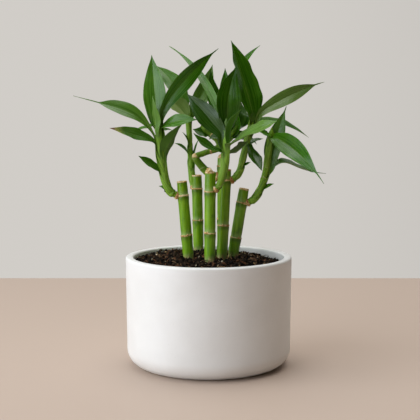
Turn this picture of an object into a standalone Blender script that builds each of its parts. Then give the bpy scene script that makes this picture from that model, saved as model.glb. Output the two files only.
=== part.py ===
"""Lucky bamboo in its pot.

Six cut canes stand in potting soil in a round white pot, and each has grown one leafy side shoot.
Units are metres, +Z is up, and the origin is on the pot's axis where it stands.
"""

import math

import bmesh
import bpy
from mathutils import Vector, noise

MM = 0.001
GAP = 0.3 * MM  # left between pieces that touch
MERGE = 0.00005

# Pot: a thick-walled round bowl with an almost straight side.
RIM_RADIUS = 70.0 * MM
FOOT_RADIUS = 69.2 * MM  # the side, carried down to the table
POT_HEIGHT = 92.5 * MM
WALL = 6.5 * MM
FLOOR = 8.0 * MM
RIM_ROUND = 1.6 * MM
FOOT_ROUND = 15.0 * MM
BOWL_ROUND = 10.0 * MM  # inside, where the wall meets the floor
POT_SIDES = 60

# Soil: fills the bowl to a little under the rim, heaped towards the canes.
SOIL_EDGE = 87.0 * MM
SOIL_CROWN = 90.5 * MM
SOIL_CROWN_RADIUS = 34.0 * MM
SOIL_LEAN = 0.03  # the soil lies higher on the left
SOIL_CRUMB = 1.0 * MM  # height of the lumps
SOIL_CRUMB_SIZE = 9.0 * MM
SOIL_SIDES = 36

# Canes: a straight stem, cut off flat, with a raised scar where each old leaf was.
CANE_RADIUS = 4.6 * MM
CANE_TOP_RADIUS = 4.2 * MM  # at the cut
CANE_FOOT = 40.0 * MM
SCAR_HEIGHT = 0.7 * MM
SCAR_PROUD = 0.45 * MM
CUT_RIM = 0.8 * MM
CUT_DEPTH = 0.7 * MM
CANE_SIDES = 16

# Leaves: a thin blade, folded along its midrib, on a narrow base that clasps the shoot.
LEAF_THICKNESS = 0.75 * MM
LEAF_FOLD = 0.28  # rise of the edges above the midrib, as a share of the half width
LEAF_WAVE = 0.10  # ripple of the edges, as a share of the half width
TIP_WIDTH = 0.8 * MM
MIDRIB_STEPS = 48

POT_WHITE = (0.78, 0.77, 0.74)
SOIL_BROWN = (0.045, 0.028, 0.018)
CANE_GREEN = (0.13, 0.30, 0.04)

# Each stalk: where its cane leaves the soil (x, y), the middle of its cut top (x, y, z), the heights
# of its scars, the way that its shoot takes from the upper scar, and the shoot's thickness at its
# start and its end. All are in millimetres from the origin.
# Each leaf: where it leaves the shoot (mm along it), its heading (degrees from +X), its rise above
# level at the base, how far it droops and how far it swings round on its way to the tip (degrees),
# its length and width (mm), how far it is rolled about its midrib at the base and the tip, and the
# shares of its length that are its narrow neck, where it turns away from the shoot, and its thin tail.
# A twig is a second shoot, which leaves the first one.
STALKS = {
    "stalk_left": {
        "foot": (-17, -4),
        "top": (-22.5, -4, 156),
        "scars": (110.5, 144),
        "shoot": ((-22, -4, 143), (-30, -5, 144.5), (-35.5, -6, 153), (-39, -7, 171),
                  (-41, -8, 193), (-43.5, -8, 210)),
        "thickness": (6.6, 5),
        "leaves": (
            (32, -175, 15, 0, 5, 104, 15, -60, -50, 0.75, 0.2),
            (37, -165, 15, 0, 10, 58, 13, -50, -40, 0.55, 0),
            (21, -155, 30, -5, 0, 33, 9, -60, -50, 0.45, 0),
            (60, 110, 75, 0, 0, 68, 19, -30, -20, 0.2, 0),
            (55, -130, 70, -15, 5, 38, 11, -20, -20, 0.2, 0),
            (47, 5, 60, 25, 20, 104, 14, 85, 90, 0.5, 0.05),
            (27, -20, 75, 30, 5, 47, 15, -20, -20, 0.4, 0),
            (55, -30, 30, 35, 25, 43, 12, 25, 70, 0.4, 0),
            (64, 140, -10, 5, 0, 34, 8, -30, -30, 0.2, 0),
            (61, 55, 5, 15, 0, 22, 7, 20, 20, 0.2, 0),
            (11, 175, 30, 20, 0, 11, 6, -30, -30, 0.2, 0),
        ),
    },
    "stalk_back_left": {
        "foot": (-9, 42),
        "top": (-10.5, 42, 158),
        "scars": (118, 146),
        "shoot": ((-10.5, 42, 145.5), (-14, 46, 145.5), (-15, 47, 158), (-16, 45, 180),
                  (-17.5, 42, 199), (-18, 40, 217)),
        "thickness": (6.2, 4.6),
        "leaves": (
            (19, -155, 80, 65, -5, 32, 7, -30, -30, 0.55, 0),
            (35, -145, 75, 30, 0, 21, 6, -45, -45, 0.35, 0),
            (17, -40, 80, 15, 0, 32, 7, 60, 60, 0.2, 0),
            (62, 155, 65, 30, 0, 61, 16, -30, -50, 0.4, 0),
            (59, 45, 45, -10, 25, 68, 15, 70, 55, 0.25, 0),
            (61, -155, 50, 25, 0, 36, 18, 30, 30, 0.3, 0),
        ),
    },
    "stalk_front": {
        "foot": (1, -20),
        "top": (1.3, -20, 165),
        "scars": (114.5, 149),
        "shoot": ((1.5, -20, 149), (7.5, -21, 151), (11, -22, 159.5), (14, -23, 173),
                  (14, -24, 186), (14.5, -24, 202)),
        "thickness": (7, 5.2),
        "leaves": (
            (36, 170, 50, 5, -10, 60, 17, -85, -80, 0.4, 0),
            (28, -160, 10, -45, 0, 40, 12, -10, -55, 0.35, 0),
            (35, -35, 75, 25, 0, 41, 13, 5, 5, 0.4, 0),
            (32, -40, 25, 0, 20, 59, 23, 0, 50, 0.3, 0),
            (52, 80, 85, 20, -60, 56, 21, 25, 75, 0.15, 0),
            (42, 115, 55, 30, 25, 120, 7, -50, -45, 0.2, 0.05),
            (31, 35, 10, -35, 0, 28, 16, -25, -50, 0.25, 0),
            (31, 150, 50, -45, 0, 25, 7, 5, 0, 0.2, 0),
            (48, -90, 85, -10, 0, 17, 5, 0, 0, 0.3, 0),
        ),
    },
    "stalk_middle": {
        "foot": (11, -4),
        "top": (14.5, -4, 166),
        "scars": (119, 157),
        "shoot": ((14.5, -4, 156), (20, -4, 156.5), (25.5, -3, 163), (29, -3, 176),
                  (31.5, -2, 189.5), (37, -1, 205)),
        "thickness": (6.8, 5),
        "leaves": (
            (50, 165, 75, 5, -5, 78, 30, -35, -10, 0.25, 0),
            (41, 25, 30, 20, 20, 103, 13, 60, 80, 0.4, 0.1),
            (55, 80, 60, 5, 5, 41, 8, 50, 45, 0.25, 0),
            (39, 50, 5, 40, -40, 76, 16, 30, 15, 0.45, 0),
            (34, -55, -60, -30, -5, 35, 14, -20, -5, 0.25, 0),
            (35, 30, 25, 20, 0, 20, 8, 15, 15, 0.2, 0),
            (17, -20, 25, -5, 0, 11, 5, 35, 35, 0.2, 0),
        ),
    },
    "stalk_right": {
        "foot": (20.5, 7),
        "top": (30, 7, 149),
        "scars": (107, 137),
        "shoot": ((28.5, 7, 136), (36, 6, 137), (43, 5, 146.5), (48, 4, 162), (50, 3, 180),
                  (53, 2, 200)),
        "thickness": (6.6, 5.8),
        "leaves": (
            (54, -65, -10, 40, 20, 89, 17, 30, 75, 0.25, 0.1),
            (28, 5, 75, 5, 5, 66, 15, 70, 80, 0.3, 0.05),
            (20, 60, -25, -20, -20, 97, 15, 0, 45, 0.55, 0.15),
            (12, -20, 45, 25, 0, 21, 7, 30, 30, 0.45, 0),
            (65, -140, 15, 0, 0, 19, 10, -40, -40, 0.2, 0),
        ),
    },
    "stalk_back": {
        "foot": (12, 26),
        "top": (12, 26, 175),
        "scars": (121, 158, 167),
        "shoot": ((11.5, 27, 157.5), (4, 26, 157), (-4, 26, 164), (-11.5, 26, 173),
                  (-11.5, 26, 175.5), (-2, 27, 178.5), (9, 28, 182), (19, 30, 192), (26, 32, 203)),
        "thickness": (8.6, 4.2),
        "leaves": (
            (62, 135, 85, 45, 5, 32, 18, -15, -15, 0.2, 0),
            (72, 70, 70, 30, 35, 38, 24, 35, 60, 0.15, 0),
            (60, -155, 30, 65, 0, 20, 9, -35, -35, 0.2, 0),
            (62, 15, 15, 65, 0, 30, 12, 35, 35, 0.2, 0),
            (59, 160, 55, -40, 0, 68, 17, -25, -40, 0.2, 0),
            (64, 145, 70, -20, -15, 63, 16, -30, -40, 0.25, 0),
            (61, 5, 100, 65, 5, 92, 13, 15, 50, 0.15, 0),
        ),
        "twigs": (
            {
                "shoot": ((9, 28, 182), (8, 28, 189), (2, 28, 194), (-4, 28, 199.5), (-7, 28, 201)),
                "thickness": (4.4, 6.4),
                "leaves": (
                    (14, 180, 5, -20, 0, 17, 9, -60, -60, 0.2, 0),
                ),
            },
        ),
    },
}


# ---------------------------------------------------------------- scene and small helpers

def clear_scene():
    for item in list(bpy.data.objects):
        bpy.data.objects.remove(item, do_unlink=True)


def new_collection(name):
    group = bpy.data.collections.new(name)
    bpy.context.scene.collection.children.link(group)
    return group


def new_material(name, colour, roughness):
    material = bpy.data.materials.new(name)
    material.use_nodes = True
    shader = material.node_tree.nodes["Principled BSDF"]
    shader.inputs["Base Color"].default_value = (*colour, 1.0)
    shader.inputs["Roughness"].default_value = roughness
    shader.inputs["Metallic"].default_value = 0.0
    return material


def new_object(name, data, group):
    item = bpy.data.objects.new(name, data)
    group.objects.link(item)
    return item


def baked(item, group):
    """A plain mesh object with the shape that item has now, in place of item."""
    bpy.context.view_layer.update()
    graph = bpy.context.evaluated_depsgraph_get()
    mesh = bpy.data.meshes.new_from_object(item.evaluated_get(graph))
    mesh.transform(item.matrix_world)
    name = item.name
    bpy.data.objects.remove(item, do_unlink=True)
    mesh.name = name
    return new_object(name, mesh, group)


def weld(mesh, distance=MERGE):
    bm = bmesh.new()
    bm.from_mesh(mesh)
    bmesh.ops.remove_doubles(bm, verts=bm.verts, dist=distance)
    bm.to_mesh(mesh)
    bm.free()


def turned(name, profile, sides, group):
    """A solid of revolution about Z. The profile runs from the axis, down its outer side, to the axis."""
    mesh = bpy.data.meshes.new(name)
    edges = [(i, i + 1) for i in range(len(profile) - 1)]
    mesh.from_pydata([(radius, 0.0, height) for radius, height in profile], edges, [])
    item = new_object(name, mesh, group)
    screw = item.modifiers.new("Turned", "SCREW")
    screw.angle = math.tau
    screw.steps = sides
    screw.render_steps = sides
    screw.use_merge_vertices = True
    screw.merge_threshold = MERGE
    screw.use_smooth_shade = True
    return item


def arc(centre, radius, start, end, steps):
    """Profile points on a round edge, from one angle to another, in degrees."""
    points = []
    for i in range(steps + 1):
        angle = math.radians(start + (end - start) * i / steps)
        points.append((centre[0] + radius * math.cos(angle), centre[1] + radius * math.sin(angle)))
    return points


def smooth(t):
    t = min(max(t, 0.0), 1.0)
    return t * t * (3.0 - 2.0 * t)


# ---------------------------------------------------------------- pot and soil

def bowl_profile(top, inset):
    """The inside of the pot from its wall at height top down to the axis, moved inwards by inset."""
    wall = RIM_RADIUS - WALL - inset
    floor = FLOOR + inset
    radius = BOWL_ROUND - inset
    corner = arc((wall - radius, floor + radius), radius, 0, -90, 4)
    return [(wall, top)] + corner + [(0.0, floor)]


def make_pot(group):
    wall = RIM_RADIUS - WALL
    lip = POT_HEIGHT - RIM_ROUND
    inside = list(reversed(bowl_profile(lip, 0.0)))[:-1]
    inner_lip = arc((wall + RIM_ROUND, lip), RIM_ROUND, 180, 90, 2)
    outer_lip = arc((RIM_RADIUS - RIM_ROUND, lip), RIM_ROUND, 90, 0, 3)
    foot = arc((FOOT_RADIUS - FOOT_ROUND, FOOT_ROUND), FOOT_ROUND, 0, -90, 6)
    pot = turned("pot", inside + inner_lip + outer_lip + foot + [(0.0, 0.0)], POT_SIDES, group)
    pot.data.materials.append(new_material("ceramic", POT_WHITE, 0.42))
    return pot


def soil_height(x, y):
    """The heap of the soil, with lumps that die out at the wall."""
    edge = RIM_RADIUS - WALL - GAP
    radius = math.hypot(x, y)
    heap = 1.0 - smooth((radius - SOIL_CROWN_RADIUS) / (edge - SOIL_CROWN_RADIUS))
    lump = noise.noise(Vector((x, y, 0.0)) / SOIL_CRUMB_SIZE) * 2.0 * SOIL_CRUMB
    level = SOIL_EDGE + (SOIL_CROWN - SOIL_EDGE) * heap - SOIL_LEAN * x
    return level + lump * smooth((edge - radius) / (6.0 * MM))


def make_soil(group, cutters):
    edge = RIM_RADIUS - WALL - GAP
    rings = 8
    surface = [(edge * i / rings, SOIL_EDGE) for i in range(rings)]
    profile = surface + bowl_profile(SOIL_EDGE, GAP)
    soil = baked(turned("soil", profile, SOIL_SIDES, group), group)
    for vertex in soil.data.vertices:
        if vertex.co.z > SOIL_EDGE - MERGE:
            vertex.co.z = soil_height(vertex.co.x, vertex.co.y)
    soil.data.materials.append(new_material("potting_soil", SOIL_BROWN, 0.95))
    for name, stalk in STALKS.items():
        hole = make_hole(name + "_hole", stalk, cutters)
        cut = soil.modifiers.new(hole.name, "BOOLEAN")
        cut.operation = "DIFFERENCE"
        cut.object = hole
    return soil


# ---------------------------------------------------------------- canes

def cane_pose(stalk):
    """The cane's foot, its direction and its whole length."""
    top = Vector(stalk["top"]) * MM
    ground = Vector((stalk["foot"][0] * MM, stalk["foot"][1] * MM, SOIL_CROWN))
    lean = (top - ground).normalized()
    foot = top - lean * ((top.z - CANE_FOOT) / lean.z)
    return foot, lean, (top - foot).length


def stand(item, foot, lean):
    item.location = foot
    item.rotation_mode = "QUATERNION"
    item.rotation_quaternion = lean.to_track_quat("Z", "Y")


def make_hole(name, stalk, cutters):
    """The cutter for the plain hole that a cane stands in."""
    foot, lean, length = cane_pose(stalk)
    radius = (CANE_RADIUS + GAP) / math.cos(math.pi / CANE_SIDES)
    profile = [(0.0, length), (radius, length), (radius, -GAP), (0.0, -GAP)]
    hole = turned(name, profile, CANE_SIDES, cutters)
    stand(hole, foot, lean)
    hole.hide_render = True
    hole.display_type = "WIRE"
    return hole


def scar_profile(height):
    """The raised ring at an old leaf's place; the stem starts a little thinner above it."""
    return [
        (CANE_RADIUS - 0.15 * MM, height + 2.2 * SCAR_HEIGHT),
        (CANE_RADIUS + SCAR_PROUD, height + 0.5 * SCAR_HEIGHT),
        (CANE_RADIUS + SCAR_PROUD, height - 0.5 * SCAR_HEIGHT),
        (CANE_RADIUS, height - 1.4 * SCAR_HEIGHT),
    ]


def make_cane(name, stalk, group):
    foot, lean, length = cane_pose(stalk)
    profile = [
        (0.0, length - CUT_DEPTH),
        (CANE_TOP_RADIUS - 1.4 * CUT_RIM, length - CUT_DEPTH),
        (CANE_TOP_RADIUS - CUT_RIM, length),
        (CANE_TOP_RADIUS + 0.1 * MM, length - 0.2 * MM),
        (CANE_TOP_RADIUS, length - 1.8 * MM),
    ]
    for height in sorted(stalk["scars"], reverse=True):
        profile += scar_profile((height * MM - foot.z) / lean.z)
    profile += [(CANE_RADIUS, 1.0 * MM), (CANE_RADIUS - 1.0 * MM, 0.0), (0.0, 0.0)]
    cane = turned(name, profile, CANE_SIDES, group)
    stand(cane, foot, lean)
    return cane


# ---------------------------------------------------------------- shoots

def rounded_way(points, steps):
    """A smooth way that starts and ends at the end points and is drawn towards the others."""
    way = [points[0]]
    last = len(points) - 2
    for i in range(1, last + 1):
        start = points[0] if i == 1 else (points[i - 1] + points[i]) / 2
        end = points[-1] if i == last else (points[i] + points[i + 1]) / 2
        for k in range(1, steps + 1):
            t = k / steps
            way.append(start * (1 - t) ** 2 + points[i] * (2 * t * (1 - t)) + end * t ** 2)
    return way


def shoot_way(stalk, steps):
    return rounded_way([Vector(point) * MM for point in stalk["shoot"]], steps)


def along(way, distance):
    """The point at a distance along a way, and the way's direction there."""
    for start, end in zip(way, way[1:]):
        step = (end - start).length
        if distance <= step:
            return start.lerp(end, distance / step), (end - start).normalized()
        distance -= step
    return way[-1].copy(), (way[-1] - way[-2]).normalized()


def make_shoot(name, stalk, group):
    """The shoot's own stem, thick where it leaves the cane and tapering to its tip."""
    way = shoot_way(stalk, 3)
    thick, thin = stalk["thickness"]
    curve = bpy.data.curves.new(name, "CURVE")
    curve.dimensions = "3D"
    curve.bevel_depth = 0.5 * MM
    curve.bevel_resolution = 2
    curve.use_fill_caps = True
    spline = curve.splines.new("POLY")
    spline.points.add(len(way) - 1)
    for i, (point, place) in enumerate(zip(spline.points, way)):
        point.co = (*place, 1.0)
        point.radius = thick + (thin - thick) * i / (len(way) - 1)
    shoot = baked(new_object(name, curve, group), group)
    weld(shoot.data)
    return shoot


# ---------------------------------------------------------------- leaves

def heading_vector(heading, rise):
    heading = math.radians(heading)
    rise = math.radians(rise)
    return Vector((math.cos(heading) * math.cos(rise), math.sin(heading) * math.cos(rise), math.sin(rise)))


def leaf_midrib(root, shoot_direction, leaf):
    """Points and directions along a leaf's midrib, which leaves the shoot along it and then turns away."""
    _, heading, rise, droop, swing, length = leaf[:6]
    neck = leaf[9]
    step = length * MM / MIDRIB_STEPS
    points = [root.copy()]
    directions = []
    for i in range(MIDRIB_STEPS):
        u = (i + 0.5) / MIDRIB_STEPS
        free = heading_vector(heading + swing * u ** 1.3, rise - droop * u ** 1.5)
        direction = shoot_direction.lerp(free, smooth(u / neck)).normalized()
        directions.append(direction)
        points.append(points[-1] + direction * step)
    directions.append(directions[-1])
    return points, directions


def leaf_width(u, neck, tail):
    """A leaf's width at a share of its length, as a share of its greatest width."""
    lift = 0.6 + 1.8 * neck
    fall = 1.25
    start = 0.36 * neck
    t = min(max((u - start) / (1.0 - tail - start), 0.0), 1.0)
    peak = lift / (lift + fall)
    blade = t ** lift * (1.0 - t) ** fall / (peak ** lift * (1.0 - peak) ** fall)
    clasp = 0.2 * (1.0 - smooth((u - 0.1) / 0.5))
    return blade + clasp * (1.0 - blade)


def leaf_point(u, v, points, directions, leaf):
    """A point of the blade: u runs from base to tip, v from -1 to 1 across it."""
    _, heading, _, _, swing, _, width, roll, tip_roll, neck, tail = leaf
    place = u * MIDRIB_STEPS
    index = min(int(place), MIDRIB_STEPS - 1)
    centre = points[index].lerp(points[index + 1], place - index)
    direction = directions[index]
    angle = math.radians(heading + swing * u ** 1.3)
    side = Vector((-math.sin(angle), math.cos(angle), 0.0))
    side = (side - direction * side.dot(direction)).normalized()
    upper = direction.cross(side)
    turn = math.radians(roll + (tip_roll - roll) * u)
    across = side * math.cos(turn) + upper * math.sin(turn)
    lift = upper * math.cos(turn) - side * math.sin(turn)
    half = max(leaf_width(u, neck, tail) * width * MM, TIP_WIDTH) / 2
    ripple = LEAF_WAVE * math.sin(11.0 * u + heading) * v
    return centre + across * (half * v) + lift * (half * (LEAF_FOLD * abs(v) + ripple))


def make_leaf(name, leaf, way, group):
    root, shoot_direction = along(way, leaf[0] * MM)
    points, directions = leaf_midrib(root, shoot_direction, leaf)
    stations = 5 if leaf[5] < 30 else 7 if leaf[5] < 50 else 9
    mesh = bpy.data.meshes.new(name)
    bm = bmesh.new()
    bmesh.ops.create_grid(bm, x_segments=stations, y_segments=2, size=1.0)
    for vertex in bm.verts:
        vertex.co = leaf_point((vertex.co.x + 1.0) / 2, vertex.co.y, points, directions, leaf)
    bmesh.ops.triangulate(bm, faces=bm.faces)
    bm.to_mesh(mesh)
    bm.free()
    item = new_object(name, mesh, group)
    blade = item.modifiers.new("Blade", "SOLIDIFY")
    blade.thickness = LEAF_THICKNESS
    blade.offset = 0.0
    return baked(item, group)


# ---------------------------------------------------------------- stalks

def connected(start):
    """All the faces that hang together with one face."""
    found = {start}
    edge_of_search = [start]
    while edge_of_search:
        face = edge_of_search.pop()
        for edge in face.edges:
            for neighbour in edge.link_faces:
                if neighbour not in found:
                    found.add(neighbour)
                    edge_of_search.append(neighbour)
    return found


def keep_outer_skin(mesh):
    """Fill the small hollows that leaf bases seal between them, by leaving only the outer skin."""
    bm = bmesh.new()
    bm.from_mesh(mesh)
    left = set(bm.faces)
    skins = []
    while left:
        skin = connected(next(iter(left)))
        skins.append(skin)
        left -= skin
    skins.sort(key=len)
    for skin in skins[:-1]:
        bmesh.ops.delete(bm, geom=list(skin), context="FACES")
    bm.to_mesh(mesh)
    bm.free()


def grow_together(cane, growth, group):
    """Join a cane with the shoot and the leaves that grew from it into one solid."""
    union = cane.modifiers.new("Grown together", "BOOLEAN")
    union.operation = "UNION"
    union.operand_type = "COLLECTION"
    union.collection = growth
    stalk = baked(cane, group)
    keep_outer_skin(stalk.data)
    for item in list(growth.objects):
        bpy.data.objects.remove(item, do_unlink=True)
    bpy.data.collections.remove(growth)
    return stalk


def make_stalk(name, stalk, group, material):
    growth = new_collection(name + "_growth")
    cane = baked(make_cane(name, stalk, group), group)
    for shoot in (stalk, *stalk.get("twigs", ())):
        make_shoot(name + "_shoot", shoot, growth)
        way = shoot_way(shoot, 10)
        for leaf in shoot["leaves"]:
            make_leaf(name + "_leaf", leaf, way, growth)
    plant = grow_together(cane, growth, group)
    plant.data.materials.clear()
    plant.data.materials.append(material)
    plant.data.shade_smooth()
    plant.data.set_sharp_from_angle(angle=math.radians(40))
    return plant


def main():
    clear_scene()
    group = new_collection("lucky_bamboo")
    cutters = new_collection("cutters")
    make_pot(group)
    make_soil(group, cutters)
    green = new_material("bamboo_green", CANE_GREEN, 0.4)
    for name, stalk in STALKS.items():
        make_stalk(name, stalk, group, green)


main()
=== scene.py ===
"""Lucky bamboo in its pot: the finished look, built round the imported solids.

Lengths are millimetres until a piece is made, and angles in tables are degrees, as in the part's
source.
"""

import math
import random

import bmesh
import bpy
import numpy as np
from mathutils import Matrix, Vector, noise


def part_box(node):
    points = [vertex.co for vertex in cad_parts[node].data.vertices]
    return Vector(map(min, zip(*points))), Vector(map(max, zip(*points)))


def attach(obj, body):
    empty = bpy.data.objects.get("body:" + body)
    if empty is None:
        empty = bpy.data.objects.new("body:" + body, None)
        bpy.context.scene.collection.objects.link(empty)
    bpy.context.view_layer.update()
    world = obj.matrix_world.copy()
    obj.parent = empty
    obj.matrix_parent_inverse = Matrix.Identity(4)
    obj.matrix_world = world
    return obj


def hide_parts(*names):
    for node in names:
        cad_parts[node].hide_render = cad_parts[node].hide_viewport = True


MM = 0.001
ROOT = "root"

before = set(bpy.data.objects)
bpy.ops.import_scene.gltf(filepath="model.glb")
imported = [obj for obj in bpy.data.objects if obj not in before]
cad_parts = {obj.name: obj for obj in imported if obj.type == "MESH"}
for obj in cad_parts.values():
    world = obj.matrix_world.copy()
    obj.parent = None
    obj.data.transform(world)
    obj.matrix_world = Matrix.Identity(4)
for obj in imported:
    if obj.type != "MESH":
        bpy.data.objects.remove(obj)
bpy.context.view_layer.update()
POT_LOW, POT_HIGH = [np.array(corner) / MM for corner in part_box("pot")]

# Pot
RIM_RADIUS = (POT_HIGH[0] - POT_LOW[0]) / 2
POT_HEIGHT = POT_HIGH[2]
FOOT_RADIUS = RIM_RADIUS - 0.8
WALL = 6.5
FLOOR = 8.0
RIM_ROUND = 1.6
FOOT_ROUND = 15.0
FOOT_RING = 4.0  # width of the flat, bare ring it stands on
DISH_DEPTH = 1.8  # how far the bottom is dished inside that ring
BOWL_ROUND = 10.0
GAP = 0.3  # left between pieces that touch
LAST_RING = 0.3  # radius of a turned form's last ring, which one face closes
POT_SIDES = 180

# Soil
SOIL_RADIUS = RIM_RADIUS - WALL - GAP
SOIL_EDGE = 87.0
SOIL_CROWN = 90.5
SOIL_CROWN_RADIUS = 34.0
SOIL_LEAN = 0.03  # the soil lies higher on the left
SOIL_LUMP, SOIL_LUMP_SIZE = 2.0, 9
SOIL_CALM = 6.0  # the lumps die out this far from the wall
SOIL_RINGS, SOIL_SIDES = 84, 230
FIBRES = 150

# Canes
CANE_RADIUS = 4.6
CANE_TOP_RADIUS = 4.2
CANE_FOOT = 40.0
SCAR_PROUD = 0.45
SCAR_THICK = 0.4
SCAR_UNEVEN = 0.12
SCALE_SIZE = 1.25  # the bud scale on the lower scar
COLLAR_REACH = (3.4, 6.6)  # the torn rim, along the shoot
COLLAR_ROWS, COLLAR_SIDES = 12, 28
CANE_SIDES = 40

# Shoots and leaves
SHOOT_SIDES = 26
LEAF_THICKNESS = 0.36
LEAF_FOLD = 0.28
LEAF_WAVE = 0.1
RIB_DEPTH, RIB_WIDTH = 0.3, 0.09  # the keel under the midrib, its width a share of the half width
TIP_WIDTH = 0.3
MIDRIB_STEPS = 48
SHEATH_DROP = 17.0
SHEATH_CLEAR = 7.0
SHOOT_INSET = 0.4
SHEATH_FLARE = 1.2
SHEATH_LAYER = 0.07
SHEATH_WRAP, SHEATH_OPEN = 150, 88  # how far a leaf's base reaches round the shoot, low and high
# Where a leaf has points across it, closest together at its midrib.
ACROSS = np.array((-1, -.94, -.8, -.62, -.44, -.27, -.12, -.04, 0, .04, .12, .27, .44, .62, .8, .94, 1))

# Stage
FLOOR_SIDE, FLOOR_FRONT, FLOOR_BACK, FLOOR_DEPTH = 1300.0, -1500.0, 430.0, 30.0
FLOOR_COLOUR = (0.53, 0.42, 0.345)
CAMERA_PLACE = (0.0011, -0.88, 0.2228)  # metres, as are the places and sizes of the lights
CAMERA_TILT = 84.065
CAMERA_LENS, CAMERA_SENSOR = 90.0, 36.0
WORLD_TURN = -0.75  # how far the bright side lies round to the left
WORLD_DIM, WORLD_BRIGHT = -0.5, 0.95
WORLD_SHADE, WORLD_PALE = (0.08, 0.07, 0.059), (0.635, 0.61, 0.575)
SHARP_ANGLE = 55.0

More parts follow.
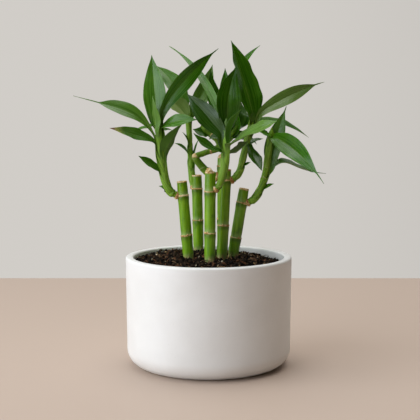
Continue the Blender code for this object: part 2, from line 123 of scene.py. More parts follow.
# Each stalk's shape, as in the part's source. A leaf's row is its place along the shoot, heading,
# rise, droop, sideways turn, length, width, roll at its base and tip, and the shares of its length
# that are neck and thin tail. Only the looks need the rest: shades are the leaves' lightness (below 1
# darker, partly their own green and partly painted shade, which the stalk's shoot also takes; above 1
# a grey-green painted sheen), brown names leaves with a dry tip, counted from 0, rings are dry rings
# along the shoot, and stub is the size of a dry remnant on the cut top.
STALKS = {
    "stalk_left": dict(
        foot=(-17, -4), top=(-22.5, -4, 156), scars=(110.5, 144), thickness=(6.6, 5), brown=(1,),
        shoot=((-22, -4, 143), (-30, -5, 144.5), (-35.5, -6, 153), (-39, -7, 171), (-41, -8, 193),
               (-43.5, -8, 210)),
        leaves=(
            (32, -175, 15, 0, 5, 104, 15, -60, -50, 0.75, 0.2),
            (37, -165, 15, 0, 10, 58, 13, -50, -40, 0.55, 0),
            (21, -155, 30, -5, 0, 33, 9, -60, -50, 0.45, 0),
            (60, 110, 75, 0, 0, 68, 19, -30, -20, 0.2, 0),
            (55, -130, 70, -15, 5, 38, 11, -20, -20, 0.2, 0),
            (47, 5, 60, 25, 20, 104, 14, 85, 90, 0.5, 0.05),
            (27, -20, 75, 30, 5, 47, 15, -20, -20, 0.4, 0),
            (55, -30, 30, 35, 25, 43, 12, 25, 70, 0.4, 0),
            (64, 140, -10, 5, 0, 34, 8, -30, -30, 0.2, 0),
            (61, 55, 5, 15, 0, 22, 7, 20, 20, 0.2, 0),
            (11, 175, 30, 20, 0, 11, 6, -30, -30, 0.2, 0),
        ),
        shades=(1.35, 1.2, 1.1, 1.2, 1.5, 0.8, 0.9, 1.1, 1.2, 1, 1),
    ),
    "stalk_back_left": dict(
        foot=(-9, 42), top=(-10.5, 42, 158), scars=(118, 146), thickness=(6.2, 4.6),
        shoot=((-10.5, 42, 145.5), (-14, 46, 145.5), (-15, 47, 158), (-16, 45, 180), (-17.5, 42, 199),
               (-18, 40, 217)),
        leaves=(
            (19, -155, 80, 65, -5, 32, 7, -30, -30, 0.55, 0),
            (35, -145, 75, 30, 0, 21, 6, -45, -45, 0.35, 0),
            (17, -40, 80, 15, 0, 32, 7, 60, 60, 0.2, 0),
            (62, 155, 65, 30, 0, 61, 16, -30, -50, 0.4, 0),
            (59, 45, 45, -10, 25, 68, 15, 70, 55, 0.25, 0),
            (61, -155, 50, 25, 0, 36, 18, 30, 30, 0.3, 0),
        ),
        shades=(1.2, 1.2, 1.2, 1.3, 1.5, 2.2),
    ),
    "stalk_front": dict(
        foot=(1, -20), top=(1.3, -20, 165), scars=(114.5, 149), thickness=(7, 5.2), stub=(2.5, 3.8),
        rings=(32,),
        shoot=((1.5, -20, 149), (7.5, -21, 151), (11, -22, 159.5), (14, -23, 173), (14, -24, 186),
               (14.5, -24, 202)),
        leaves=(
            (36, 170, 50, 5, -10, 60, 17, -85, -80, 0.4, 0),
            (28, -160, 10, -45, 0, 40, 12, -10, -55, 0.35, 0),
            (35, -35, 75, 25, 0, 41, 13, 5, 5, 0.4, 0),
            (32, -40, 25, 0, 20, 59, 23, 0, 50, 0.3, 0),
            (52, 80, 85, 20, -60, 56, 21, 25, 75, 0.15, 0),
            (42, 115, 55, 30, 25, 120, 7, -50, -45, 0.2, 0.05),
            (31, 35, 10, -35, 0, 28, 16, -25, -50, 0.25, 0),
            (31, 150, 50, -45, 0, 25, 7, 5, 0, 0.2, 0),
            (48, -90, 85, -10, 0, 17, 5, 0, 0, 0.3, 0),
        ),
        shades=(0.4, 0.85, 1.2, 1.75, 0.6, 1.3, 0.6, 1.2, 1.6),
    ),
    "stalk_middle": dict(
        foot=(11, -4), top=(14.5, -4, 166), scars=(119, 157), thickness=(6.8, 5), stub=(1.9, 2.2),
        shoot=((14.5, -4, 156), (20, -4, 156.5), (25.5, -3, 163), (29, -3, 176), (31.5, -2, 189.5),
               (37, -1, 205)),
        leaves=(
            (50, 165, 75, 5, -5, 78, 30, -35, -10, 0.25, 0),
            (41, 25, 30, 20, 20, 103, 13, 60, 80, 0.4, 0.1),
            (55, 80, 60, 5, 5, 41, 8, 50, 45, 0.25, 0),
            (39, 50, 5, 40, -40, 76, 16, 30, 15, 0.45, 0),
            (34, -55, -60, -30, -5, 35, 14, -20, -5, 0.25, 0),
            (35, 30, 25, 20, 0, 20, 8, 15, 15, 0.2, 0),
            (17, -20, 25, -5, 0, 11, 5, 35, 35, 0.2, 0),
        ),
        shades=(0.9, 2.2, 0.8, 1, 0.6, 0.8, 1),
    ),
    "stalk_right": dict(
        foot=(20.5, 7), top=(30, 7, 149), scars=(107, 137), thickness=(6.6, 5.8),
        shoot=((28.5, 7, 136), (36, 6, 137), (43, 5, 146.5), (48, 4, 162), (50, 3, 180), (53, 2, 200)),
        leaves=(
            (54, -65, -10, 40, 20, 89, 17, 30, 75, 0.25, 0.1),
            (28, 5, 75, 5, 5, 66, 15, 70, 80, 0.3, 0.05),
            (20, 60, -25, -20, -20, 97, 15, 0, 45, 0.55, 0.15),
            (12, -20, 45, 25, 0, 21, 7, 30, 30, 0.45, 0),
            (65, -140, 15, 0, 0, 19, 10, -40, -40, 0.2, 0),
        ),
        shades=(0.9, 1.2, 1.1, 1.1, 1),
    ),
    "stalk_back": dict(
        foot=(12, 26), top=(12, 26, 175), scars=(121, 158, 167), thickness=(8.6, 4.2), stub=(2.4, 2.6),
        rings=(31, 45),
        shoot=((11.5, 27, 157.5), (4, 26, 157), (-4, 26, 164), (-11.5, 26, 173), (-11.5, 26, 175.5),
               (-2, 27, 178.5), (9, 28, 182), (19, 30, 192), (26, 32, 203)),
        leaves=(
            (62, 135, 85, 45, 5, 32, 18, -15, -15, 0.2, 0),
            (72, 70, 70, 30, 35, 38, 24, 35, 60, 0.15, 0),
            (60, -155, 30, 65, 0, 20, 9, -35, -35, 0.2, 0),
            (62, 15, 15, 65, 0, 30, 12, 35, 35, 0.2, 0),
            (59, 160, 55, -40, 0, 68, 17, -25, -40, 0.2, 0),
            (64, 145, 70, -20, -15, 63, 16, -30, -40, 0.25, 0),
            (61, 5, 100, 65, 5, 92, 13, 15, 50, 0.15, 0),
        ),
        shades=(0.6, 0.6, 0.6, 0.7, 0.8, 0.9, 0.85),
        twigs=(dict(
            thickness=(4.4, 6.4), rings=(14,),
            shoot=((9, 28, 182), (8, 28, 189), (2, 28, 194), (-4, 28, 199.5), (-7, 28, 201)),
            leaves=(
                (14, 180, 5, -20, 0, 17, 9, -60, -60, 0.2, 0),
            ),
            shades=(0.7,),
        ),),
    ),
}


# ---- small helpers

def smooth(t):
    t = np.clip(t, 0.0, 1.0)
    return t * t * (3.0 - 2.0 * t)


def bell(distance, width):
    return np.exp(-(distance / width) ** 2)


def unit(vectors):
    return vectors / np.linalg.norm(vectors, axis=-1, keepdims=True)


def square_to(vectors, directions):
    """The part of each vector at right angles to its direction, with length 1."""
    return unit(vectors - directions * np.sum(vectors * directions, axis=-1, keepdims=True))


def round_angles(sides):
    return np.linspace(0, math.tau, sides, endpoint=False)


def ringed(first, second, angle):
    """Directions at each angle round a line that is square to first and second."""
    angle = angle[..., None]
    return first[..., None, :] * np.cos(angle) + second[..., None, :] * np.sin(angle)


def between(place, marks, rows):
    """Rows of three values, read at places between their marks."""
    return np.stack([np.interp(place, marks, rows[:, k]) for k in range(3)], axis=1)


def ripple(x, y, z=0.0):
    return noise.noise(Vector((x, y, z)))


class Shape:
    """Points, faces and painted values, gathered for one piece."""

    def __init__(self):
        self.points, self.faces, self.places, self.tones = [], [], [], []
        self.count = 0

    def add(self, points, faces, tones, places=(0, 0, 0)):
        points = np.asarray(points, float).reshape(-1, 3)
        self.points.append(points)
        self.faces += [tuple(int(i) + self.count for i in face) for face in faces]
        self.places.append(np.broadcast_to(np.asarray(places, float).reshape(-1, 3), points.shape))
        self.tones.append(np.broadcast_to(np.asarray(tones, float).reshape(-1, 4), (len(points), 4)))
        self.count += len(points)


def new_object(name, data):
    item = bpy.data.objects.new(name, data)
    bpy.context.scene.collection.objects.link(item)
    return item


def make_object(name, shape, material):
    mesh = bpy.data.meshes.new(name)
    mesh.from_pydata((np.concatenate(shape.points) * MM).tolist(), [], shape.faces)
    place = mesh.attributes.new("place", "FLOAT_VECTOR", "POINT")
    place.data.foreach_set("vector", np.concatenate(shape.places).astype(np.float32).ravel())
    tone = mesh.attributes.new("tone", "FLOAT_COLOR", "POINT")
    tone.data.foreach_set("color", np.concatenate(shape.tones).astype(np.float32).ravel())
    mesh.materials.append(material)
    return new_object(name, mesh)


def make_piece(name, shape, material, slot, *nodes, flat=False):
    """The piece's object, riding on the part in place of its nodes."""
    item = make_object(name, shape, material)
    if not flat:
        item.data.shade_smooth()
        item.data.set_sharp_from_angle(angle=math.radians(SHARP_ANGLE))
    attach(item, ROOT)
    if nodes:
        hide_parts(*nodes)
    return item


def wrapped_faces(rows, columns, flip=False):
    """Faces of a tube of rows rings with columns points each, closed round and at both ends."""
    faces = []
    for i in range(rows - 1):
        for j in range(columns):
            k = (j + 1) % columns
            low, high = i * columns, (i + 1) * columns
            faces.append((low + j, high + j, high + k, low + k))
    faces.append(tuple(range(columns)))
    faces.append(tuple((rows - 1) * columns + j for j in reversed(range(columns))))
    return [tuple(reversed(face)) for face in faces] if flip else faces


def place_values(along, across, seed):
    """The painted place of each point of a tube or a leaf."""
    return np.stack(np.broadcast_arrays(along[:, None], across, seed), axis=2)


# ---- material helpers

class Paint:
    """Short ways to add nodes to a material or a world."""

    def __init__(self, name, kind=bpy.data.materials):
        self.owner = kind.new(name)
        self.owner.use_nodes = True
        self.tree = self.owner.node_tree
        self.shader = self.tree.nodes.get("Principled BSDF")

    def put(self, made, key, value):
        if isinstance(value, bpy.types.NodeSocket):
            self.tree.links.new(value, made.inputs[key])
        else:
            made.inputs[key].default_value = value

    def node(self, kind, inputs, **settings):
        made = self.tree.nodes.new("ShaderNode" + kind)
        for key, value in settings.items():
            setattr(made, key, value)
        for key, value in inputs.items():
            self.put(made, key, value)
        return made

    def sum(self, operation, a, b=0.0, clamp=False):
        return self.node("Math", {0: a, 1: b}, operation=operation, use_clamp=clamp).outputs[0]

    def times(self, a, b):
        return self.sum("MULTIPLY", a, b)

    def dimmed(self, colour, light):
        return self.mix(1.0, colour, self.vector(light, light, light), "MULTIPLY")

    def ramp(self, value, low, high, start=0.0, end=1.0):
        """start where value is low, end where it is high, smooth between."""
        inputs = {"Value": value, "From Min": low, "From Max": high, "To Min": start, "To Max": end}
        return self.node("MapRange", inputs, interpolation_type="SMOOTHSTEP").outputs[0]

    def mix(self, factor, a, b, blend="MIX"):
        made = self.node("Mix", {0: factor, 6: a, 7: b}, data_type="RGBA", blend_type=blend)
        return made.outputs[2]

    def colours(self, value, *stops):
        made = self.node("ValToRGB", {0: value})
        made.color_ramp.elements.remove(made.color_ramp.elements[1])
        made.color_ramp.elements[0].position = stops[0][0]
        made.color_ramp.elements[0].color = (*stops[0][1], 1)
        for position, colour in stops[1:]:
            made.color_ramp.elements.new(position).color = (*colour, 1)
        return made.outputs[0]

    def painted(self, name):
        made = self.node("Attribute", {}, attribute_name=name, attribute_type="GEOMETRY")
        parts = self.node("SeparateXYZ", {0: made.outputs["Vector"]})
        return [parts.outputs[0], parts.outputs[1], parts.outputs[2], made.outputs["Alpha"]]

    def vector(self, x, y, z):
        return self.node("CombineXYZ", {0: x, 1: y, 2: z}).outputs[0]

    def noise(self, vector, scale, detail=3.0, roughness=0.55):
        inputs = {"Vector": vector, "Scale": scale, "Detail": detail, "Roughness": roughness}
        return self.node("TexNoise", inputs).outputs[0]

    def here(self):
        """The place on the part, in metres."""
        return self.node("TexCoord", {}).outputs["Object"]

    def bump(self, height, strength, distance, below=None):
        inputs = {"Height": height, "Strength": strength, "Distance": distance}
        if below is not None:
            inputs["Normal"] = below
        return self.node("Bump", inputs).outputs[0]

    def finish(self, colour, roughness, normal, **values):
        for key, value in (("Base Color", colour), ("Roughness", roughness), ("Normal", normal)):
            self.put(self.shader, key, value)
        for key, value in values.items():
            self.shader.inputs[key.replace("_", " ")].default_value = value
        return self.owner

    def let_light_through(self, colour, share):
        made = self.node("BsdfTranslucent", {"Color": colour})
        blend = self.node("MixShader", {0: share, 1: self.shader.outputs[0], 2: made.outputs[0]})
        output = self.tree.nodes["Material Output"]
        self.tree.links.new(blend.outputs[0], output.inputs["Surface"])


# ---- materials

def ceramic_paint():
    """Satin white glaze: soft mottling, fine pits, and bare clay where tone is 1."""
    mat = Paint("glazed_ceramic")
    here = mat.here()
    bare = mat.painted("tone")[0]
    cloud = mat.noise(here, 28.0, 4.0)
    speck = mat.noise(here, 900.0, 2.0)
    glaze = mat.colours(cloud, (0.3, (0.8, 0.795, 0.775)), (0.7, (0.85, 0.85, 0.835)))
    dots = mat.ramp(speck, 0.7, 0.76)
    glaze = mat.mix(mat.times(dots, 0.25), glaze, (0.45, 0.4, 0.34, 1))
    clay = mat.colours(mat.noise(here, 400.0), (0.3, (0.5, 0.42, 0.34)), (0.7, (0.62, 0.55, 0.46)))
    colour = mat.mix(bare, glaze, clay)
    rough = mat.ramp(cloud, 0.3, 0.7, 0.36, 0.46)
    rough = mat.sum("ADD", rough, mat.times(bare, 0.4), clamp=True)
    soft = mat.bump(mat.noise(here, 60.0, 2.0), 0.25, 0.0006)
    normal = mat.bump(speck, 0.12, 0.0002, soft)
    return mat.finish(colour, rough, normal)


def soil_paint():
    mat = Paint("potting_mix")
    here = mat.here()
    grain = mat.noise(here, 700.0, 6.0, 0.7)
    patch = mat.noise(here, 90.0, 3.0)
    dark = mat.colours(grain, (0.3, (0.004, 0.003, 0.002)), (0.55, (0.016, 0.011, 0.007)),
                       (0.75, (0.07, 0.045, 0.027)))
    colour = mat.mix(mat.ramp(patch, 0.45, 0.65), dark, (0.02, 0.012, 0.008, 1), "SCREEN")
    normal = mat.bump(grain, 0.9, 0.0014)
    return mat.finish(colour, 0.95, normal, Specular_IOR_Level=0.1)


def crumb_paint(name, streak):
    """Loose bits, each with the colour painted on it; streak stretches the grain along a chip."""
    mat = Paint(name)
    made = mat.node("Attribute", {}, attribute_name="tone", attribute_type="GEOMETRY")
    along, across, over, _ = mat.painted("place")
    along = mat.times(along, streak)
    grain = mat.noise(mat.vector(along, across, over), 1.6, 5.0, 0.7)
    light = mat.colours(grain, (0.3, (0.35, 0.33, 0.31)), (0.7, (1.25, 1.22, 1.2)))
    colour = mat.mix(1.0, made.outputs["Color"], light, "MULTIPLY")
    normal = mat.bump(grain, 0.8, 0.0006)
    return mat.finish(colour, 0.92, normal, Specular_IOR_Level=0.12)


def dry_colour(mat, here):
    """Tan to brown, for old scars, cut ends and dry scales, and its grain."""
    grain = mat.noise(here, 1500.0, 4.0, 0.7)
    patch = mat.noise(here, 330.0, 3.0, 0.6)
    fresh = mat.colours(patch, (0.28, (0.24, 0.1, 0.03)), (0.42, (0.54, 0.32, 0.11)),
                        (0.54, (0.74, 0.54, 0.25)), (0.68, (0.86, 0.76, 0.5)))
    return mat.mix(mat.ramp(grain, 0.32, 0.55, 0.35, 0.0), fresh, (0.2, 0.085, 0.025, 1)), grain


def cane_paint():
    """Tone is dryness, lightness (with painted shade just below each scar), paleness and rust."""
    mat = Paint("green_cane")
    dry, light, pale, rust = mat.painted("tone")
    here = mat.here()
    stretched = mat.node("VectorMath", {0: here, 1: (1.0, 1.0, 0.09)}, operation="MULTIPLY").outputs[0]
    streak = mat.noise(stretched, 420.0, 4.0, 0.6)
    patch = mat.noise(here, 75.0, 4.0, 0.6)
    green = mat.colours(streak, (0.28, (0.085, 0.22, 0.002)), (0.5, (0.16, 0.345, 0.003)),
                        (0.72, (0.265, 0.47, 0.01)))
    stain = mat.ramp(patch, 0.56, 0.72, 0.0, 0.55)
    green = mat.mix(stain, green, (0.045, 0.115, 0.01, 1))
    green = mat.mix(mat.ramp(patch, 0.44, 0.28, 0.0, 0.35), green, (0.27, 0.42, 0.05, 1))
    green = mat.mix(pale, green, (0.36, 0.46, 0.17, 1))
    green = mat.dimmed(green, light)
    tan, grain = dry_colour(mat, here)
    scorched = mat.colours(grain, (0.35, (0.16, 0.05, 0.014)), (0.62, (0.5, 0.22, 0.065)))
    tan = mat.mix(mat.times(rust, 0.8), tan, scorched)
    colour = mat.mix(dry, green, tan)
    rough = mat.ramp(dry, 0.2, 0.8, 0.34, 0.85)
    fine = mat.bump(streak, 0.22, 0.0005)
    bark = mat.times(grain, dry)
    normal = mat.bump(bark, 0.7, 0.0007, fine)
    return mat.finish(colour, rough, normal, Specular_IOR_Level=0.35)


def shoot_paint():
    """Place is mm along, share of a turn, seed. Tone is dryness, lightness (painted shade), a sheath's
    pale edge.
    """
    mat = Paint("green_shoot")
    dry, light, pale, _ = mat.painted("tone")
    along, turn, seed, _ = mat.painted("place")
    here = mat.here()
    lines = mat.noise(mat.vector(mat.times(turn, 60.0), mat.times(along, 0.12), seed), 1.0, 3.0)
    patch = mat.noise(here, 110.0, 3.0)
    green = mat.colours(lines, (0.32, (0.085, 0.21, 0.003)), (0.52, (0.185, 0.37, 0.01)),
                        (0.7, (0.33, 0.52, 0.05)))
    green = mat.mix(mat.ramp(patch, 0.45, 0.65, 0.0, 0.5), green, (0.085, 0.215, 0.004, 1))
    green = mat.mix(mat.times(pale, 0.8), green, (0.46, 0.48, 0.2, 1))
    green = mat.dimmed(green, light)
    tan, _ = dry_colour(mat, here)
    colour = mat.mix(dry, green, tan)
    rough = mat.ramp(dry, 0.2, 0.8, 0.46, 0.85)
    normal = mat.bump(lines, 0.35, 0.0005)
    mat.finish(colour, rough, normal, Specular_IOR_Level=0.3)
    mat.let_light_through(colour, 0.06)
    return mat.owner


def leaf_paint():
    """Place is share of the length, share across (-1 to 1), seed.

    Tone is lightness (partly painted shade, and a painted sheen above 1), underside, dry tip and base.
    """
    mat = Paint("green_leaf")
    u, v, seed, _ = mat.painted("place")
    light, under, brown, base = mat.painted("tone")
    lines = mat.vector(mat.times(v, 15.0), mat.times(u, 1.7), mat.times(seed, 31.0))
    veins = mat.noise(lines, 1.0, 2.0, 0.6)
    off = mat.sum("ABSOLUTE", v)
    wide = mat.vector(mat.times(v, 3.1), mat.times(u, 1.3), seed)
    bands = mat.noise(wide, 1.0, 2.0, 0.5)
    patch = mat.noise(mat.here(), 55.0, 3.0)
    upper = mat.colours(veins, (0.28, (0.02, 0.096, 0.0008)), (0.52, (0.04, 0.17, 0.0012)),
                        (0.75, (0.095, 0.275, 0.004)))
    upper = mat.mix(mat.ramp(bands, 0.42, 0.68, 0.0, 0.5), upper, (0.085, 0.24, 0.006, 1))
    lower = mat.colours(veins, (0.3, (0.048, 0.175, 0.004)), (0.7, (0.11, 0.275, 0.012)))
    colour = mat.mix(under, upper, lower)
    colour = mat.mix(mat.ramp(patch, 0.55, 0.72, 0.0, 0.25), colour, (0.1, 0.235, 0.008, 1))
    middle = mat.ramp(off, 0.075, 0.02)
    faded = mat.ramp(u, 0.25, 0.95, 0.65, 0.15)
    colour = mat.mix(mat.times(middle, faded), colour, (0.17, 0.32, 0.045, 1))
    margin = mat.ramp(off, 0.93, 1.0, 0.0, 0.4)
    colour = mat.mix(margin, colour, (0.17, 0.28, 0.07, 1))
    clasp = mat.colours(veins, (0.3, (0.1, 0.24, 0.003)), (0.5, (0.2, 0.4, 0.014)),
                        (0.68, (0.36, 0.55, 0.07)))
    colour = mat.mix(mat.times(base, 0.92), colour, clasp)
    # painted shade: the clasping base is darkened on its sides that wrap round the shoot
    turned = mat.ramp(off, 0.6, 0.95, 0.0, 0.45)
    colour = mat.mix(mat.times(base, turned), colour, (0.025, 0.08, 0.002, 1))
    dim = mat.sum("MAXIMUM", mat.sum("MINIMUM", light, 1.0), mat.times(base, 0.8))
    colour = mat.dimmed(colour, dim)
    # painted sheen: where lightness is above 1 the leaf is mixed towards a pale grey-green, streaked by
    # the veins and kept off its base
    painted_sheen = mat.times(mat.sum("SUBTRACT", light, 1.0, clamp=True), 0.62)
    painted_sheen = mat.times(painted_sheen, mat.ramp(veins, 0.25, 0.75, 0.75, 1.25))
    painted_sheen = mat.times(painted_sheen, mat.sum("SUBTRACT", 1.0, base))
    colour = mat.mix(painted_sheen, colour, (0.2, 0.315, 0.075, 1))
    ragged = mat.sum("ADD", u, mat.times(veins, 0.08))
    tip = mat.times(mat.ramp(ragged, 0.93, 0.985), brown)
    yellow = mat.times(mat.ramp(ragged, 0.8, 0.97), brown)
    colour = mat.mix(yellow, colour, (0.36, 0.36, 0.06, 1))
    colour = mat.mix(tip, colour, (0.2, 0.085, 0.03, 1))
    rough = mat.ramp(under, 0.3, 0.7, 0.27, 0.42)
    rough = mat.sum("ADD", rough, mat.ramp(veins, 0.3, 0.7, -0.04, 0.06))
    rough = mat.sum("ADD", rough, mat.times(base, 0.22))
    normal = mat.bump(veins, 0.35, 0.0005)
    mat.finish(colour, rough, normal, Specular_IOR_Level=0.52)
    mat.let_light_through(mat.mix(1.0, colour, (1.8, 1.6, 0.6, 1), "MULTIPLY"), 0.14)
    return mat.owner


def floor_paint():
    mat = Paint("pale_floor")
    normal = mat.bump(mat.noise(mat.here(), 40.0), 0.05, 0.0005)
    return mat.finish((*FLOOR_COLOUR, 1), 0.6, normal)


# ---- pot and soil

def arc(centre, radius, start, end, steps):
    """Profile points on a round edge, from one angle to another."""
    angles = np.radians(np.linspace(start, end, steps + 1))
    return [(centre[0] + radius * math.cos(a), centre[1] + radius * math.sin(a)) for a in angles]


def line(start, end, steps):
    """Points from start up to, but not including, end."""
    return [tuple(np.array(start) + (np.array(end) - start) * i / steps) for i in range(steps)]


def pot_profile():
    wall = RIM_RADIUS - WALL
    lip = POT_HEIGHT - RIM_ROUND
    side = FOOT_RADIUS - FOOT_ROUND
    ring = side - FOOT_RING
    points = line((LAST_RING, FLOOR), (wall - BOWL_ROUND, FLOOR), 8)
    points += arc((wall - BOWL_ROUND, FLOOR + BOWL_ROUND), BOWL_ROUND, -90, 0, 10)[:-1]
    points += line((wall, FLOOR + BOWL_ROUND), (wall, lip), 14)
    points += arc((wall + RIM_ROUND, lip), RIM_ROUND, 180, 90, 6)[:-1]
    points += line((wall + RIM_ROUND, POT_HEIGHT), (RIM_RADIUS - RIM_ROUND, POT_HEIGHT), 3)
    points += arc((RIM_RADIUS - RIM_ROUND, lip), RIM_ROUND, 90, 0, 6)[:-1]
    points += line((RIM_RADIUS, lip), (FOOT_RADIUS, FOOT_ROUND), 16)
    points += arc((side, FOOT_ROUND), FOOT_ROUND, 0, -90, 16)
    points += [(ring, 0.0), (ring - 1.0, 0.4), (ring - 2.0, 1.4), (ring - 4.0, DISH_DEPTH)]
    return points + [(LAST_RING, DISH_DEPTH)]


def make_pot(material):
    sides = POT_SIDES
    profile = np.array(pot_profile())
    angle = round_angles(sides)
    shape = Shape()
    uneven = 1.0 + 0.0009 * np.sin(2 * angle + 0.7) + 0.0005 * np.sin(5 * angle)
    radius = profile[:, :1] * np.minimum(uneven, 1.0)
    points = np.stack((radius * np.cos(angle), radius * np.sin(angle),
                       np.repeat(profile[:, 1:], sides, axis=1)), axis=2)
    under = (profile[:, 1] < DISH_DEPTH + 0.1) & (profile[:, 0] < FOOT_RADIUS - FOOT_ROUND + 1.0)
    tones = np.zeros((len(profile), sides, 4))
    tones[:, :, 0] = under[:, None]
    shape.add(points, wrapped_faces(len(profile), sides, flip=True), tones)
    return make_piece("planter", shape, material, "ceramic", "pot")


def soil_height(x, y):
    """The heap of the soil, with lumps that die out at the wall."""
    radius = math.hypot(x, y)
    heap = 1.0 - smooth((radius - SOIL_CROWN_RADIUS) / (SOIL_RADIUS - SOIL_CROWN_RADIUS))
    lump = ripple(x / SOIL_LUMP_SIZE, y / SOIL_LUMP_SIZE) * SOIL_LUMP
    level = SOIL_EDGE + (SOIL_CROWN - SOIL_EDGE) * heap - SOIL_LEAN * x
    return level + lump * smooth((SOIL_RADIUS - radius) / SOIL_CALM)


def rough_soil(x, y):
    crumbs = 1.3 * ripple(x / 3.3, y / 3.3, 4.0) + 0.9 * ripple(x / 1.5, y / 1.5, 9.0)
    return soil_height(x, y) + crumbs - 0.9


def make_soil(material):
    """The rough surface, and the body of the mix down to the pot's floor."""
    rings, sides = SOIL_RINGS, SOIL_SIDES
    shape = Shape()
    floor = FLOOR + GAP
    edge = SOIL_RADIUS - BOWL_ROUND + GAP
    body = [(SOIL_RADIUS, 60.0), (SOIL_RADIUS, 20.0), (edge + 5.0, 11.0), (edge, floor)]
    body.append((LAST_RING, floor))
    rows = []
    for i in range(rings + len(body)):
        for j in range(sides):
            angle = math.tau * j / sides
            inner = i < rings
            radius = SOIL_RADIUS * (i + 0.02) / (rings - 1 + 0.02) if inner else body[i - rings][0]
            x, y = radius * math.cos(angle), radius * math.sin(angle)
            rows.append((x, y, rough_soil(x, y) if inner else body[i - rings][1]))
    shape.add(rows, wrapped_faces(rings + len(body), sides), (0, 0, 0, 1))
    return make_piece("potting_soil", shape, material, "potting_soil", "soil")


def pebble(steps):
    """Points and faces of a small round template."""
    bm = bmesh.new()
    bmesh.ops.create_icosphere(bm, subdivisions=steps, radius=1.0)
    points = np.array([vertex.co[:] for vertex in bm.verts])
    faces = [tuple(vertex.index for vertex in face.verts) for face in bm.faces]
    bm.free()
    return points, faces


def rotation(first, second, angle):
    """The matrix of a turn from one axis towards another."""
    matrix = np.eye(3)
    matrix[first, first] = matrix[second, second] = math.cos(angle)
    matrix[second, first] = math.sin(angle)
    matrix[first, second] = -math.sin(angle)
    return matrix


def turned_at_random(dice, tilt):
    """A rotation: any heading, tilted up to tilt, as a matrix."""
    spin = dice.uniform(0, math.tau)
    lean = math.radians(dice.uniform(-tilt, tilt))
    roll = math.radians(dice.uniform(-tilt, tilt))
    return rotation(0, 1, spin) @ rotation(2, 0, lean) @ rotation(1, 2, roll)


def free_spot(dice, margin):
    """A place on the soil that is clear of the canes and the wall."""
    while True:
        radius = (SOIL_RADIUS - margin) * math.sqrt(dice.random())
        angle = dice.uniform(0, math.tau)
        x, y = radius * math.cos(angle), radius * math.sin(angle)
        if all(math.hypot(x - stalk["foot"][0], y - stalk["foot"][1]) > CANE_RADIUS + 0.8 + 0.4 * margin
               for stalk in STALKS.values()):
            return x, y


def scatter(name, seed, count, sizes, form, tilt, rise, palette, mat):
    """Loose bits on the soil: form is the length, width and height of one of size 1."""
    dice = random.Random(seed)
    points, faces = pebble(1)
    shape = Shape()
    for number in range(count):
        size = sizes[0] + (sizes[1] - sizes[0]) * dice.random() ** 2.2
        x, y = free_spot(dice, 0.8 * size)
        worn = points * np.array([[dice.uniform(0.72, 1.12)] for _ in points])
        bit = worn * (size / 2) * np.array(form) * dice.uniform(0.85, 1.15)
        bit = bit @ turned_at_random(dice, tilt).T
        bit += (x, y, soil_height(x, y) + rise * size * dice.uniform(0.2, 1.0))
        colour = np.array(dice.choice(palette)) * dice.uniform(0.7, 1.25)
        shape.add(bit, faces, (*colour, 1), points * 1.5 + number * 3.7)
    return make_piece(name, shape, mat, "potting_soil", flat=True)


def make_fibres(mat):
    """Thin roots and twigs, most of them lying, a few standing up out of the mix."""
    dice = random.Random(31)
    shape = Shape()
    for number in range(FIBRES):
        x, y = free_spot(dice, 2.0)
        heading = dice.uniform(0, math.tau)
        length = dice.uniform(3.5, 9.0)
        steep = dice.uniform(35, 80) if number % 7 == 0 else dice.uniform(2, 16)
        length = min(length, 5.0) if steep > 30 else length
        bend = dice.uniform(-1.6, 1.6)
        stations = np.linspace(0, 1, 9)
        turns = heading + bend * stations
        level = length / 8 * math.cos(math.radians(steep))
        path = np.stack((x + np.cumsum(level * np.cos(turns)), y + np.cumsum(level * np.sin(turns)),
                         soil_height(x, y) + 0.4 + length * math.sin(math.radians(steep)) * stations
                         - (0.0 if steep > 30 else 3.2) * (stations - 0.4) ** 2), axis=1)
        reach = np.hypot(path[:, 0], path[:, 1])
        path[:, :2] *= np.minimum(1.0, (SOIL_RADIUS - 0.8) / np.maximum(reach, 1.0))[:, None]
        thick = dice.uniform(0.14, 0.42) * (1.0 - 0.6 * stations)
        colour = np.array(dice.choice(((0.1, 0.055, 0.03), (0.05, 0.03, 0.02), (0.22, 0.14, 0.08))))
        add_tube(shape, path, thick[:, None] * np.ones((1, 6)), (*colour, 1), (number, 0, 0))
    return make_piece("root_fibres", shape, mat, "potting_soil")


# ---- ways and tubes

def rounded_way(points, steps):
    """A smooth way that starts and ends at the end points and is drawn towards the others."""
    points = np.array(points, float)
    way = [points[0]]
    last = len(points) - 2
    for i in range(1, last + 1):
        start = points[0] if i == 1 else (points[i - 1] + points[i]) / 2
        end = points[-1] if i == last else (points[i] + points[i + 1]) / 2
        for k in range(1, steps + 1):
            t = k / steps
            way.append(start * (1 - t) ** 2 + points[i] * (2 * t * (1 - t)) + end * t ** 2)
    return np.array(way)


class Way:
    """A shoot's middle line, with its thickness, to be read at any distance along it."""

    def __init__(self, stalk):
        self.points = rounded_way(stalk["shoot"], 10)
        steps = np.linalg.norm(np.diff(self.points, axis=0), axis=1)
        self.marks = np.concatenate(([0.0], np.cumsum(steps)))
        self.length = self.marks[-1]
        self.thick, self.thin = stalk["thickness"]

    def place(self, distance):
        """Points at distances along the way, which runs on straight past its end."""
        distance = np.atleast_1d(distance)
        inside = np.clip(distance, 0.0, self.length)
        ahead = unit(self.points[-1] - self.points[-2])
        return between(inside, self.marks, self.points) + (distance - inside)[:, None] * ahead

    def direction(self, distance):
        distance = np.atleast_1d(distance)
        return unit(self.place(distance + 0.6) - self.place(np.maximum(distance - 0.6, 0.0)))

    def radius(self, distance):
        share = np.interp(distance, self.marks, np.linspace(0, 1, len(self.marks)))
        return (self.thick + (self.thin - self.thick) * share) / 2 - SHOOT_INSET


